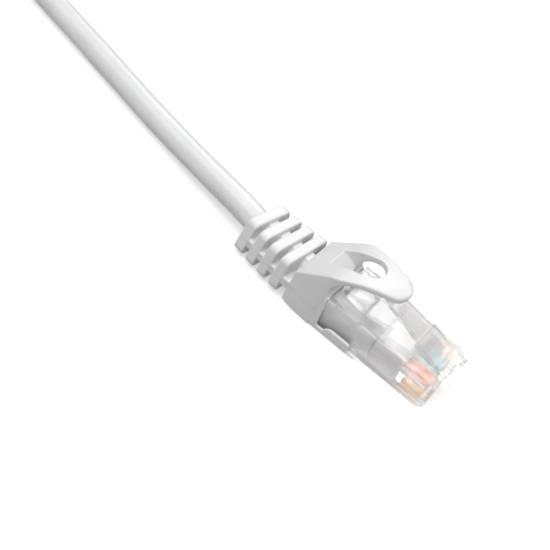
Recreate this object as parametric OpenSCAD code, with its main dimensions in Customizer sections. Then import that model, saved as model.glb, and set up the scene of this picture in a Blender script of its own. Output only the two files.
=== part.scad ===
// Snagless moulded ethernet patch cable: eight conductors, with the same clear plug and grey-white
// boot on both ends. Millimetres. +X runs out of the near plug's nose, +Z is up, and +Y is to its left.
// The origin is on the surface, under the middle of the line where the near plug enters its boot.
// The near end lies as it is used, and the cable that follows it is folded into a tied hank.

/* [Plug] */
// Width of the plug's housing
plug_w = 11.68; // [11.6:0.02:11.76]
// Height of the housing without its latch
plug_h = 6.6; // [6.5:0.05:6.7]
// Length of housing that stands out of the boot
plug_out = 22; // [21.8:0.1:22.4]
// Distance from one conductor and contact to the next
pitch = 1.02; // [1:0.01:1.03]
// Thickness of a contact blade
blade_t = 0.35; // [0.3:0.05:0.4]
// Diameter of one insulated conductor
wire_d = 0.95; // [0.86:0.01:0.96]
// Width of the latch at its shoulders
latch_w = 6.2; // [5.8:0.1:6.3]
// Width of the latch's tab at its end
tab_w = 2.2; // [2:0.1:2.6]

/* [Boot] */
// Width of the boot at its front
boot_w = 12.9; // [12.7:0.1:13.1]
// Height of the boot where the latch guard leaves it
boot_h = 12.9; // [12.7:0.1:13.1]
// Length of the boot's body, behind the plug
boot_l = 7.8; // [7.6:0.1:8.4]
// How far the latch guard reaches over the plug
guard_l = 9.7; // [9.2:0.1:9.9]
// Thickness of the latch guard
guard_t = 1.2; // [1:0.1:1.3]
// Distance from one strain relief rib to the next
rib_pitch = 2.85; // [2.75:0.05:3.05]
// Thickness of a rib; the last one is thicker
rib_t = 1.45; // [1.3:0.05:1.6]
// Bend of the near boot's tail, in degrees
tail_bend = 10.9; // [6:0.1:14]

/* [Cable] */
// Diameter of the jacket
cable_d = 5; // [4.8:0.1:5.2]
// Straight part of the hank's runs
run_l = 24.4; // [24:0.1:30]
// Radius of the innermost fold's centreline
fold_r = 15; // [15:0.5:18]
// Distance between neighbouring turns
turn_step = 5.45; // [5.45:0.05:6]
// Thickness of the tie strap
strap_t = 0.8; // [0.6:0.1:1.2]
// Width of the tie strap
strap_w = 10; // [8:1:12]

/* [Hidden] */
$fn = 48;
ribs = 4;
ways = 8;

// Heights above the surface
plug_z = 0.6;
plug_top = plug_z + plug_h;
axis_z = plug_z + 3.3;
wire_z = plug_z + 3.9;

// Stations along the plug, from its rear inside the boot to its nose
seat = 1;
nose_x = plug_out;
jacket_x = 3;
guide_x = 9.6;
slot_x = 15.6;
blade_x = 16.8;
blade_l = 3.9;
wire_x = 20.4;
hinge_x = 19.6;
shoulder_x = 14.9;

// Room inside the housing
cavity_w = 9.6;
cavity_z0 = plug_z + 0.7;
cavity_z1 = plug_top - 0.6;
wire_slot_w = ways * pitch + 0.1;
wire_slot_h = wire_d + 0.1;

// The latch's hinge line, at the lower edge of its root, and the thickness there
hinge_z = plug_top + 0.15;
root_t = 1.1;

// The boot's tail: four ribs round the jacket on a gentle bend
tail_x = -boot_l;
first_gap = 1.1;
last_extra = 0.55;
tail_l = first_gap + (ribs - 1) * rib_pitch + rib_t + last_extra;
bend_r = tail_l / (tail_bend * PI / 180);
rib_b = 6.1;
rib_c = 5.5;
rib_z0 = 0.55;
rib_z1 = 7.6;

// Front of the boot's cheeks, from which the latch guard springs, and its height there
front_x = -1.1;
front_z = boot_h - 0.5;

// The opening in the latch guard: it starts on a ramp in the boot's top and has a round front
hole_back = -4.25;
hole_end = 4.25;
hole_w = 5.4;

// The hank: eight runs in two layers, counted in half turns from where the cable comes in
lower_z = strap_t + 0.05 + cable_d / 2;
upper_z = lower_z + turn_step;
half_turns = 8;
hank_end_x = -95;
hank_x = hank_end_x - run_l / 2 - fold_r - 2 * turn_step - cable_d / 2;
entry_y = 18;
hank_y = entry_y - fold_r - 2 * turn_step;

// The far end lies on the hank, along its near runs
far_x = hank_x - run_l / 2 + cable_d - tail_x + tail_l;
far_y = hank_y - fold_r - turn_step;
far_z = upper_z + cable_d / 2 + 0.05;

// The near stretch of cable, from the boot's tail down to the surface and along it
tail_end = tail_point(tail_l, tail_bend);
tail_out = tail_end + cable_d * [-cos(tail_bend), sin(tail_bend), 0];
near_route = [
    [-32, 3.5, 3.5], [-40, 5.1, 3], [-50, 7.2, 2.6], [-60, 9.3, 2.5], [-70, 11.4, 2.5],
    [-80, 13.4, 2.5], [-88, 15, 2.5], [-96, 16.5, 2.6], [-104, 17.6, 2.9], [-111, 18, 3.2]
];

CLEAR = [0.93, 0.92, 0.9, 0.45];
PVC = [0.84, 0.84, 0.84];
SHADED_PVC = [0.74, 0.75, 0.75];
GOLD = [0.83, 0.6, 0.25];
COPPER = [0.72, 0.42, 0.24];
STRAP = [0.12, 0.12, 0.13];
// Jacket colours of the conductors, in the order of the contacts
WIRES = [
    [0.95, 0.78, 0.66], [0.93, 0.45, 0.2], [0.75, 0.9, 0.78], [0.2, 0.35, 0.7],
    [0.7, 0.8, 0.92], [0.15, 0.5, 0.3], [0.85, 0.76, 0.68], [0.45, 0.28, 0.18]
];

// ---- Shapes that repeat ----

// A flat rounded rectangle, centred across and standing on y = 0
module rounded_rect(w, h, r) {
    translate([-w / 2 + r, 0]) square([w - 2 * r, h]);
    translate([-w / 2, r]) square([w, h - 2 * r]);
    for (x = [-w / 2 + r, w / 2 - r], y = [r, h - r])
        translate([x, y]) circle(r = r, $fn = 32);
}

// Extrudes a flat shape, drawn in Y and Z, along +X from x
module along_x(x, len) {
    translate([x, 0, 0]) rotate([90, 0, 90]) linear_extrude(len) children();
}

// Extrudes a flat shape, drawn in X and Z, across the width w, centred
module across_y(w) {
    translate([0, w / 2, 0]) rotate([90, 0, 0]) linear_extrude(w) children();
}

// A block along +X from x, centred across, from height z0 to z1
module block(x, len, w, z0, z1) {
    translate([x, -w / 2, z0]) cube([len, w, z1 - z0]);
}

function contact_y(i) = (i - (ways - 1) / 2) * pitch;
function ease(f) = f * f * (3 - 2 * f);
function unit(v) = v / norm(v);

// Directions of a path at each of its points
function path_way(p, i) = unit(p[min(i + 1, len(p) - 1)] - p[max(i - 1, 0)]);

// Total length of a path
function path_length(p, i = 0) =
    i >= len(p) - 1 ? 0 : norm(p[i + 1] - p[i]) + path_length(p, i + 1);

// A closed tube of diameter d swept along a path that nowhere stands upright
module tube(path, d, sides) {
    rings = [
        for (i = [0:len(path) - 1])
            let (way = path_way(path, i), out = unit(cross([0, 0, 1], way)), up = cross(way, out))
            for (k = [0:sides - 1])
                let (turn = 360 * (k + 0.5) / sides)
                path[i] + d / 2 * (cos(turn) * out + sin(turn) * up)
    ];
    last = (len(path) - 1) * sides;
    walls = [
        for (i = [0:len(path) - 2], k = [0:sides - 1])
            let (a = i * sides + k, b = i * sides + (k + 1) % sides)
            each [[a, b, b + sides], [a, b + sides, a + sides]]
    ];
    caps = [
        for (k = [1:sides - 2])
            each [[0, k + 1, k], [last, last + k, last + k + 1]]
    ];
    polyhedron(points = rings, faces = [for (f = concat(walls, caps)) [f[0], f[2], f[1]]]);
}

// A point of the tail's centreline, at distance s behind the boot's body; the bend is 0 or tail_bend
function tail_point(s, bend) =
    let (turn = bend * s / tail_l)
    bend > 0 ? [tail_x - bend_r * sin(turn), bend_r * (1 - cos(turn)), axis_z] : [tail_x - s, 0, axis_z];

// Places a piece on the tail, at distance s behind the boot's body; the first ribs already lean a little
module at_tail(s, bend) {
    translate(tail_point(s, bend)) rotate([0, 0, -bend * (0.45 + 0.55 * s / tail_l)]) children();
}

// The jacket's bore in the boot: straight through the body, then round the tail's bend and out
module jacket_bore(bend) {
    past = 1;
    turn = bend * (1 + past / tail_l);
    translate([tail_x, 0, axis_z]) rotate([0, 90, 0]) cylinder(d = cable_d, h = -tail_x);
    if (bend > 0)
        translate([tail_x, bend_r, axis_z]) rotate([0, 0, -90 - turn])
            rotate_extrude(angle = turn, $fn = 180) translate([bend_r, 0]) circle(d = cable_d);
    else
        translate([tail_x - tail_l - past, 0, axis_z]) rotate([0, 90, 0])
            cylinder(d = cable_d, h = tail_l + past);
}

module at_far_end() {
    translate([far_x, far_y, far_z]) children();
}

// ---- Plug ----

module plug_outline() {
    translate([0, plug_z]) rounded_rect(plug_w, plug_h, 0.5);
}

// Clear housing: nose, root block of the latch, cavity, contact slots and clamp window
module housing() {
    nose_step = 1.1;
    nose_drop = 0.75;
    root_front = 0.9;
    color(CLEAR) difference() {
        union() {
            difference() {
                along_x(-seat, seat + nose_x) plug_outline();
                block(nose_x - nose_step, 2, plug_w + 1, plug_top - nose_drop, plug_top + 1);
            }
            translate([0, 0, plug_z + 4.8])
                along_x(hinge_x, nose_x + root_front - hinge_x)
                    rounded_rect(latch_w, hinge_z + root_t - plug_z - 4.8, 0.6);
            for (side = [-1, 1]) translate([0, side * (plug_w / 2 - 0.2), 0])
                block(6.8, 1.5, 1, plug_z - 0.4, plug_z + 1.4);
        }
        block(-seat - 1, slot_x + seat + 1, cavity_w, cavity_z0, cavity_z1);
        block(slot_x - 0.1, wire_x + 0.3 - slot_x, wire_slot_w, wire_z - wire_slot_h / 2,
            wire_z + wire_slot_h / 2);
        block(0.6, 4.8, 5.6, cavity_z1 - 0.1, plug_top + 1);
        for (i = [0:ways - 1]) translate([0, contact_y(i), 0]) {
            block(blade_x - 0.1, blade_l + 0.2, blade_t + 0.07, 0, wire_z);
            block(blade_x, nose_x - blade_x + 1, blade_t + 0.07, 0, plug_z + 1.6);
        }
    }
}

// Latch: wide root with shoulders, then the tab that narrows to its end under the guard's opening
module latch() {
    tab_x = 0.7;
    color(CLEAR) {
        across_y(latch_w) polygon([
            [hinge_x, hinge_z], [hinge_x, hinge_z + root_t],
            [shoulder_x, plug_top + 2.9], [shoulder_x, plug_top + 1.3]
        ]);
        intersection() {
            across_y(latch_w) polygon([
                [shoulder_x + 0.3, plug_top + 1.7], [shoulder_x + 0.3, plug_top + 2.7],
                [10.7, plug_top + 3.75], [8.7, plug_top + 4.15], [4, plug_top + 4.7],
                [tab_x, plug_top + 4.95], [tab_x + 0.05, plug_top + 4.1], [4, plug_top + 3.9],
                [8.7, plug_top + 3.25], [10.7, plug_top + 2.8]
            ]);
            linear_extrude(30) polygon([
                [tab_x - 1, -tab_w / 2], [8.7, -1.94], [shoulder_x + 1, -2.6],
                [shoulder_x + 1, 2.6], [8.7, 1.94], [tab_x - 1, tab_w / 2]
            ]);
        }
    }
}

// Gold plated blades: a foot for the jack's springs, and a toothed top in the conductor
module contacts() {
    color(GOLD) for (i = [0:ways - 1])
        translate([0, contact_y(i), 0]) across_y(blade_t) polygon([
            [blade_x, plug_z + 0.45], [blade_x + blade_l - 0.5, plug_z + 0.45],
            [blade_x + blade_l, plug_z + 0.95], [blade_x + blade_l, wire_z - 0.6],
            [blade_x + 3.4, wire_z - 0.6], [blade_x + 3, wire_z - 0.26],
            [blade_x + 2.6, wire_z - 0.6], [blade_x + 1.3, wire_z - 0.6],
            [blade_x + 0.9, wire_z - 0.26], [blade_x + 0.5, wire_z - 0.6],
            [blade_x, wire_z - 0.6]
        ]);
}

// Guide that holds the conductors in one row
module wire_guide() {
    color(SHADED_PVC) difference() {
        block(guide_x, slot_x - guide_x - 0.1, cavity_w - 0.2, cavity_z0 + 0.2, cavity_z1 - 0.2);
        block(guide_x - 1, slot_x - guide_x + 2, wire_slot_w, wire_z - wire_slot_h / 2,
            wire_z + wire_slot_h / 2);
    }
}

// Inner mould that locks the jacket in the housing, with the room where the conductors fan out
module inner_mould() {
    color(SHADED_PVC) difference() {
        block(-0.9, guide_x + 0.8, cavity_w - 0.2, cavity_z0 + 0.2, cavity_z1 - 0.25);
        translate([-2, 0, axis_z]) rotate([0, 90, 0]) cylinder(d = cable_d, h = jacket_x + 2);
        block(jacket_x - 0.1, guide_x - jacket_x + 1, 8.2, plug_z + 2.2, wire_z + 0.6);
    }
}

// Tongue pressed down on the jacket through the housing's window
module cable_clamp() {
    jacket_top = axis_z + cable_d / 2;
    color(CLEAR) across_y(5.2) polygon([
        [0.8, jacket_top + 0.03], [5.2, jacket_top + 0.03], [5.2, jacket_top + 0.3],
        [2.2, plug_top - 0.1], [0.8, plug_top - 0.1]
    ]);
}

// End of the cable's jacket, through the boot and into the plug
module jacket_end(bend) {
    way = [cos(bend), -sin(bend), 0];
    end = tail_point(tail_l, bend);
    color(PVC) tube(concat(
        [[jacket_x, 0, axis_z], [0, 0, axis_z], [tail_x + 0.5, 0, axis_z]],
        [for (i = [0:5]) tail_point(tail_l * i / 6, bend)],
        [end + 0.5 * way, end]
    ), cable_d, 16);
}

// Way of a conductor: from two rows of four in the jacket to its place in the row
function wire_path(i) =
    let (
        from_y = (floor(i / 2) - 1.5) * pitch,
        from_z = axis_z + (i % 2 - 0.5),
        fan = [
            for (s = [0:6])
                let (f = s / 6, across = ease(min(1, f / 0.6)), rise = ease(max(0, (f - 0.4) / 0.6)))
                [
                    jacket_x + 0.8 + 5 * f,
                    from_y + (contact_y(i) - from_y) * across,
                    from_z + (wire_z - from_z) * rise
                ]
        ]
    )
    concat([[jacket_x, from_y, from_z]], fan, [[guide_x, contact_y(i), wire_z],
        [wire_x, contact_y(i), wire_z]]);

core_d = 0.5;
core_x = 12;

// One insulated conductor, notched where the blade's teeth go in and bored for its copper
module wire(i) {
    color(WIRES[i]) difference() {
        tube(wire_path(i), wire_d, 8);
        translate([core_x, contact_y(i), wire_z]) rotate([0, 90, 0])
            cylinder(d = core_d, h = 10, $fn = 12);
        translate([0, contact_y(i), 0])
            block(blade_x + 0.4, 3.1, blade_t, plug_z, wire_z - core_d / 4);
    }
}

// Stranded copper in the ends of the conductors
module wire_cores() {
    color(COPPER) for (i = [0:ways - 1])
        translate([core_x, contact_y(i), wire_z]) rotate([0, 90, 0])
            cylinder(d = core_d, h = wire_x - core_x, $fn = 12);
}

// ---- Boot ----

// Points of an upright trapezoid with rounded corners, from height z0 to z1
function rounded_trapezoid(bottom, top, z0, z1, r) = [
    for (c = [[bottom - r, z0 + r, -90], [top - r, z1 - r, 0], [r - top, z1 - r, 90],
        [r - bottom, z0 + r, 180]])
        for (s = [0:5]) [c[0] + r * cos(c[2] + 18 * s), c[1] + r * sin(c[2] + 18 * s)]
];

// A slice of the boot's body, square to X
module boot_slice(x, bottom, top, z0, z1) {
    along_x(x, 0.05) polygon(rounded_trapezoid(bottom, top, z0, z1, 0.7));
}

// Plan of the opening
module hole_plan() {
    r = hole_w / 2;
    translate([hole_end - r, 0]) circle(r = r, $fn = 40);
    polygon([[hole_back, 0.1 - r], [hole_end - r, -r], [hole_end - r, r], [hole_back, r - 0.1]]);
}

// Lip: a low tray under the plug, with fins at its sides that start in a round
module lip() {
    fin_x = 1.4;
    low = 0.9;
    high = 2.3;
    run = 1.8;
    intersection() {
        along_x(-1, 7.7) rounded_rect(boot_w - 0.3, high + 0.4, 0.7);
        across_y(boot_w) polygon(concat(
            [[-1, -1], [6.7, -1], [6.7, high - 0.2], [6.4, high]],
            [for (i = [6:-1:0]) [fin_x + run * (1 - cos(15 * i)), low + (high - low) * sin(15 * i)]],
            [[-1, low]]
        ));
    }
}

// The k-th rib, and the narrower sleeve and webs in front of it
module rib(k, bend) {
    thick = k == ribs - 1 ? rib_t + last_extra : rib_t;
    front = first_gap + rib_pitch * k;
    gap = k == 0 ? first_gap : rib_pitch - rib_t;
    web = gap + 0.8;
    at_tail(front + thick / 2, bend)
        translate([0, 0, -axis_z]) along_x(-thick / 2, thick)
            polygon(rounded_trapezoid(rib_b - 0.22 * k, rib_c - 0.35 * k, rib_z0, rib_z1, 1.2));
    at_tail(front - gap / 2, bend) {
        along_x(-web / 2, web) circle(d = cable_d + 1.5);
        block(-web / 2, web, 2 * (rib_b - 0.5 - 0.3 * k), -0.5, 0.6);
        block(-web / 2, web, 1.8, 2, 3.45);
    }
}

// Boot: body with a seat for the plug, tray under it, and the ribbed tail
module boot(bend) {
    half = boot_w / 2;
    color(PVC) difference() {
        union() {
            hull() {
                boot_slice(tail_x, half - 0.5, 5.6, 0.4, 7.4);
                boot_slice(tail_x + 2.4, half - 0.2, 5.8, 0.1, 9.3);
                boot_slice(tail_x + 5.5, half - 0.05, 6, 0, 11.8);
                boot_slice(front_x - 0.05, half, 6.15, 0, front_z);
            }
            lip();
            intersection() {
                along_x(front_x - 0.1, 0.1 - front_x)
                    polygon(rounded_trapezoid(half - 0.07, half - 0.4, 0.35, plug_top + 0.3, 0.7));
                across_y(boot_w + 1) polygon([[-2, 0], [0, 0], [-0.65, plug_top + 0.5], [-2, plug_top + 0.5]]);
            }
            for (k = [0:ribs - 1]) rib(k, bend);
        }
        along_x(-seat, 20) plug_outline();
        jacket_bore(bend);
        intersection() {
            linear_extrude(20) hole_plan();
            across_y(boot_w) polygon([
                [hole_back - 0.1, 10.22], [front_x + 0.1, 8.8], [front_x + 0.1, 20], [hole_back - 0.1, 20]
            ]);
        }
    }
}

// Latch guard: a springy tongue over the latch's tab, with the round front of the opening
module latch_guard() {
    tip_r = 3.4;
    root_w = 12.1;
    top = [[front_x, front_z], [0.3, boot_h + 0.05], [3.1, boot_h + 0.85], [6.5, boot_h + 1.2],
        [guard_l, boot_h + 1.05]];
    under = [for (i = [4:-1:0]) [top[i][0], top[i][1] - guard_t]];
    color(PVC) difference() {
        intersection() {
            across_y(boot_w) polygon(concat(top, under));
            linear_extrude(30) hull() {
                translate([guard_l - tip_r, 0]) circle(r = tip_r, $fn = 40);
                translate([front_x, -root_w / 2]) square([0.5, root_w]);
            }
        }
        translate([0, 0, 5]) linear_extrude(20) hole_plan();
    }
}

// ---- Cable ----

// How many turns out from the innermost one the k-th run lies: in on the lower layer, out on the upper
function turn_out(k) = abs(k - half_turns / 2) / 2;
function turn_r(k, f = 0) = fold_r + turn_step * (turn_out(k) + (turn_out(k + 1) - turn_out(k)) * ease(f));
function layer_z(k) = k < half_turns / 2 ? lower_z : upper_z;

// The k-th run and the fold after it. Even runs lie on the far side and go towards -X.
function run_points(k, z0, z1, steps) =
    let (way = k % 2 == 0 ? -1 : 1)
    [for (s = [0:steps - 1]) let (f = s / steps)
        [hank_x + way * (f - 0.5) * run_l, hank_y - way * turn_r(k), z0 + (z1 - z0) * ease(f)]];
function fold_points(k, z, steps) =
    let (way = k % 2 == 0 ? -1 : 1)
    [for (s = [0:steps - 1]) let (f = s / steps, r = turn_r(k, f), turn = -way * 90 + 180 * f)
        [hank_x + way * run_l / 2 + r * cos(turn), hank_y + r * sin(turn), z]];

hank_path = concat(
    [for (k = [0:half_turns - 1]) each concat(
        run_points(k, layer_z(max(0, k - 1)), layer_z(k), k == half_turns / 2 ? 5 : 2),
        fold_points(k, layer_z(k), 10))],
    [for (s = [0, cable_d]) [hank_x + run_l / 2 - s, entry_y, upper_z]]
);

// From the hank's last fold up on top of it, and round into the far boot
lead_run = run_l - cable_d;
lead_climb = 38;
lead_end = far_z + axis_z;
function lead_z(s, f) =
    upper_z + turn_step * ease(min(1, max(0, (s - cable_d) / lead_climb)))
    + (lead_end - upper_z - turn_step) * ease(max(0, 2 * f - 1));
lead_path = concat(
    [for (s = [0, cable_d, cable_d * 1.7, cable_d * 2.4, cable_d * 3.1])
        [hank_x + run_l / 2 - cable_d - s, entry_y, lead_z(s, 0)]],
    [for (i = [0:16])
        let (f = i / 16, r = fold_r + turn_step * (2 - ease(f)), turn = 90 + 180 * f)
        [hank_x - run_l / 2 + r * cos(turn), hank_y + r * sin(turn), lead_z(lead_run + f * PI * r, f)]],
    [[hank_x - run_l / 2 + cable_d, far_y, lead_end]]
);

near_path = concat([tail_end, tail_out], near_route, [[-118, entry_y, lower_z], hank_path[0]]);

module cable_run() {
    color(PVC) tube(near_path, cable_d, 10);
}

module cable_hank() {
    color(PVC) tube(hank_path, cable_d, 6);
}

module cable_lead_out() {
    color(PVC) tube(lead_path, cable_d, 10);
}

// Hook and loop strap round all the turns, at the fold nearest to the object
module tie_strap() {
    fold_x = hank_x + run_l / 2;
    inner_r = turn_r(3, 0.5) - cable_d / 2;
    inner_x = fold_x + sqrt(pow(inner_r, 2) - pow(strap_w / 2, 2)) - 0.2;
    outer_x = fold_x + turn_r(7, 0.5) + cable_d / 2 + 0.2;
    wide = outer_x - inner_x;
    high = upper_z - lower_z + cable_d + 0.1;
    color(STRAP) translate([(inner_x + outer_x) / 2, hank_y, 0]) across_y(strap_w) difference() {
        rounded_rect(wide + 2 * strap_t, high + 2 * strap_t, 1.4);
        translate([0, strap_t]) rounded_rect(wide, high, 0.6);
    }
}

// Least distance between turns of the hank, less the cable's diameter
apart = 6;
gaps = [
    for (i = [0:len(hank_path) - 1])
        for (j = [i + apart:1:len(hank_path) - 1])
            norm(hank_path[i] - hank_path[j]) - cable_d
];
echo(hank_least_gap = min(gaps));
echo(lead_least_gap = min([for (i = [3:len(lead_path) - 1], p = hank_path) norm(lead_path[i] - p)]) - cable_d);
echo(cable_length = path_length(near_path) + path_length(hank_path) + path_length(lead_path));
echo(near_length = path_length(near_path), hank_length = path_length(hank_path));

// ---- Nodes ----

housing();  // near_housing
latch();  // near_latch
contacts();  // near_contacts
wire_guide();  // near_wire_guide
inner_mould();  // near_inner_mould
cable_clamp();  // near_cable_clamp
jacket_end(tail_bend);  // near_jacket_end
wire(0);  // near_white_orange_wire
wire(1);  // near_orange_wire
wire(2);  // near_white_green_wire
wire(3);  // near_blue_wire
wire(4);  // near_white_blue_wire
wire(5);  // near_green_wire
wire(6);  // near_white_brown_wire
wire(7);  // near_brown_wire
wire_cores();  // near_wire_cores
boot(tail_bend);  // near_boot
latch_guard();  // near_latch_guard
cable_run();
cable_hank();
cable_lead_out();
tie_strap();
at_far_end() housing();  // far_housing
at_far_end() latch();  // far_latch
at_far_end() contacts();  // far_contacts
at_far_end() wire_guide();  // far_wire_guide
at_far_end() inner_mould();  // far_inner_mould
at_far_end() cable_clamp();  // far_cable_clamp
at_far_end() jacket_end(0);  // far_jacket_end
at_far_end() for (i = [0:ways - 1]) wire(i);  // far_wires
at_far_end() wire_cores();  // far_wire_cores
at_far_end() boot(0);  // far_boot
at_far_end() latch_guard();  // far_latch_guard
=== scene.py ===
# %% [markdown]
# # A patch cable with clear plugs
# The object is a moulded network lead: a clear plug in a grey-white snagless boot, five millimetres
# of vinyl cable, and the same plug again on the other end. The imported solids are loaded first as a
# fixed frame. Each look is then built round them, in metres, so nothing has to be fitted afterwards.
# %% Load the frame
import math

import bmesh
import bpy
from mathutils import Matrix, Vector


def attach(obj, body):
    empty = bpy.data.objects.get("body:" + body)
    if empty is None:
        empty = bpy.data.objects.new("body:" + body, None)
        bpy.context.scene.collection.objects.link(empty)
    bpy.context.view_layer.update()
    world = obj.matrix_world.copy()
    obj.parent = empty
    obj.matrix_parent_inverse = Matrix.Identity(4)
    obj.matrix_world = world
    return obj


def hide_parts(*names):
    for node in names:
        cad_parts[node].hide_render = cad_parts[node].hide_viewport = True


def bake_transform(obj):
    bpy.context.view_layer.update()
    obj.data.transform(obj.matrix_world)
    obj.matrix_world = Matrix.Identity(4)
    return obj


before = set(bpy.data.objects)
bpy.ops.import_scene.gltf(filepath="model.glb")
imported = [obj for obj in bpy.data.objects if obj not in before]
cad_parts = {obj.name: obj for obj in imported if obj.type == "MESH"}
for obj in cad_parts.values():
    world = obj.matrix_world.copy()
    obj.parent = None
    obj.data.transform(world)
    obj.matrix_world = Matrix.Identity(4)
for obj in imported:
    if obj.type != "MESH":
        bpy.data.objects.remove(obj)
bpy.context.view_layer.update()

MM = 0.001
TRUNK, NEAR_GUARD, NEAR_LATCH = "cable_and_plugs", "near_guard_arm", "near_latch_arm"
FAR_GUARD, FAR_LATCH = "far_guard_arm", "far_latch_arm"

# %% [markdown]
# ## The camera
# A small product is shot from about a hand's length away with a short telephoto lens, so that it keeps
# its proportions. A camera could be aimed with a tracking constraint, but an azimuth, an elevation
# and a roll say the same in three plain angles, and nothing can slide later. Here the roll matters
# most: it tips the whole object down towards the lower right.
# %% Camera
EYE = Vector((24.64, -119.72, 122.86)) * MM
AZIMUTH, ELEVATION, ROLL = 17.2, 44.98, 27.3
LENS_MM, SENSOR_MM = 65.45, 36.0


def aimed_camera(eye, azimuth, elevation, roll):
    """A camera at eye that looks along +Y at azimuth 0, down by elevation, and is rolled clockwise."""
    data = bpy.data.cameras.new("studio_camera")
    data.lens, data.sensor_width = LENS_MM, SENSOR_MM
    data.clip_start, data.clip_end = 0.005, 20.0
    camera = bpy.data.objects.new("studio_camera", data)
    bpy.context.scene.collection.objects.link(camera)
    turn = (Matrix.Rotation(math.radians(azimuth), 4, "Z")
            @ Matrix.Rotation(math.radians(90 - elevation), 4, "X")
            @ Matrix.Rotation(math.radians(roll), 4, "Z"))
    camera.matrix_world = Matrix.Translation(eye) @ turn
    return camera


bpy.context.scene.camera = aimed_camera(EYE, AZIMUTH, ELEVATION, ROLL)
print("camera looks along", (bpy.context.scene.camera.matrix_world.to_3x3() @ Vector((0, 0, -1)))[:])

# %% [markdown]
# ## Small tools for meshes
# Most pieces below end in the same few steps: turn a bmesh into an object, shade it, give it a material,
# and say which body carries it. Writing those once keeps each later cell about its shape.
# An edge where two flat sides meet is kept sharp by its angle, and weighted normals keep broad faces
# truly flat beside their narrow rounded edges, which clear plastic shows at once when they are not.
# %% Mesh tools


def piece_from(bm, name, material=None, smooth_angle=35.0):
    """Makes an object of a bmesh, smooth except where faces meet at more than smooth_angle."""
    mesh = bpy.data.meshes.new(name)
    bmesh.ops.recalc_face_normals(bm, faces=bm.faces)
    bm.to_mesh(mesh)
    bm.free()
    mesh.shade_smooth()
    mesh.set_sharp_from_angle(angle=math.radians(smooth_angle))
    made = bpy.data.objects.new(name, mesh)
    bpy.context.scene.collection.objects.link(made)
    if material:
        mesh.materials.append(material)
    return made


def apply_modifiers(piece):
    """Bakes a piece's modifiers into its mesh, because a piece that rides is stored as it stands."""
    result = bpy.data.meshes.new_from_object(
        piece.evaluated_get(bpy.context.evaluated_depsgraph_get()))
    piece.modifiers.clear()
    piece.data = result
    return piece


def bevel(piece, width, angle=40.0):
    """Rounds a piece's sharp edges and keeps its broad faces flat."""
    rounded = piece.modifiers.new("bevel", "BEVEL")
    rounded.width, rounded.segments = width, 2
    rounded.limit_method, rounded.angle_limit = "ANGLE", math.radians(angle)
    piece.modifiers.new("weighted", "WEIGHTED_NORMAL").keep_sharp = True
    return apply_modifiers(piece)


def cut(piece, tool, operation="DIFFERENCE"):
    """Cuts a piece with another one, or joins them, and removes the tool."""
    boolean = piece.modifiers.new("cut", "BOOLEAN")
    boolean.operation, boolean.object, boolean.solver = operation, tool, "EXACT"
    apply_modifiers(piece)
    bpy.data.objects.remove(tool)
    return piece


def add_loft(bm, sections):
    """Adds a closed skin over sections that all have the same number of points."""
    rings = [[bm.verts.new(p) for p in section] for section in sections]
    count = len(rings[0])
    for a, b in zip(rings, rings[1:]):
        for i in range(count):
            j = (i + 1) % count
            bm.faces.new((a[i], a[j], b[j], b[i]))
    bm.faces.new(rings[0][::-1])
    bm.faces.new(rings[-1])


def add_prism(bm, outline, axis, start, end):
    """Adds a closed prism: a flat outline in the plane across axis, from start to end along it."""
    def place(u, v, w):
        return {"X": (w, u, v), "Y": (u, w, v), "Z": (u, v, w)}[axis]
    add_loft(bm, [[place(u, v, w) for u, v in outline] for w in (start, end)])


def arc(centre_u, centre_v, radius, start, end, steps):
    """Points on an arc between two angles in degrees, with both of its ends."""
    turns = [math.radians(start + (end - start) * k / steps) for k in range(steps + 1)]
    return [(centre_u + radius * math.cos(t), centre_v + radius * math.sin(t)) for t in turns]


def rounded_box_outline(width, low, high, radius, steps=4):
    """A rectangle centred across, from height low to high, with rounded corners."""
    right, left, up, down = width / 2 - radius, radius - width / 2, high - radius, low + radius
    return (arc(right, up, radius, 0, 90, steps) + arc(left, up, radius, 90, 180, steps)
            + arc(left, down, radius, 180, 270, steps) + arc(right, down, radius, 270, 360, steps))


def carry(piece, body, slot, *nodes):
    """Puts a finished piece on its body and hides the solids that it stands for. Its slot is not used."""
    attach(piece, body)
    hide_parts(*nodes)


def carry_bent(piece, arm, start, end, place, slot, *nodes):
    """Bakes a piece's place into its mesh and hides the solids that it stands for. Its arm and slot are
    not used, and start and end are only turned into metres.
    """
    start, end = (tuple((Vector(point) + place) * MM) for point in (start, end))
    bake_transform(piece)
    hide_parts(*nodes)


print("mesh tools ready")

# %% [markdown]
# ## Vinyl
# The boot and the cable are plasticised vinyl: a soft satin surface that is never quite one colour.
# It could be one flat grey, but then the eye reads it as a diagram. Three scales of noise do the work
# instead: a slow one drifts the colour, a middle one varies the gloss, and a fine one lifts the surface
# by about a hundredth of a millimetre as a spark-eroded mould does. A little subsurface scattering
# softens the shadow edges, as light does in real vinyl. A moulded boot also carries the line where
# the mould's halves met, so its mesh says how far each point is from that plane, in millimetres. The
# nodes that all finishes share are kept in one small class, so that each finish reads as a recipe.
# %% Vinyl


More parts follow.
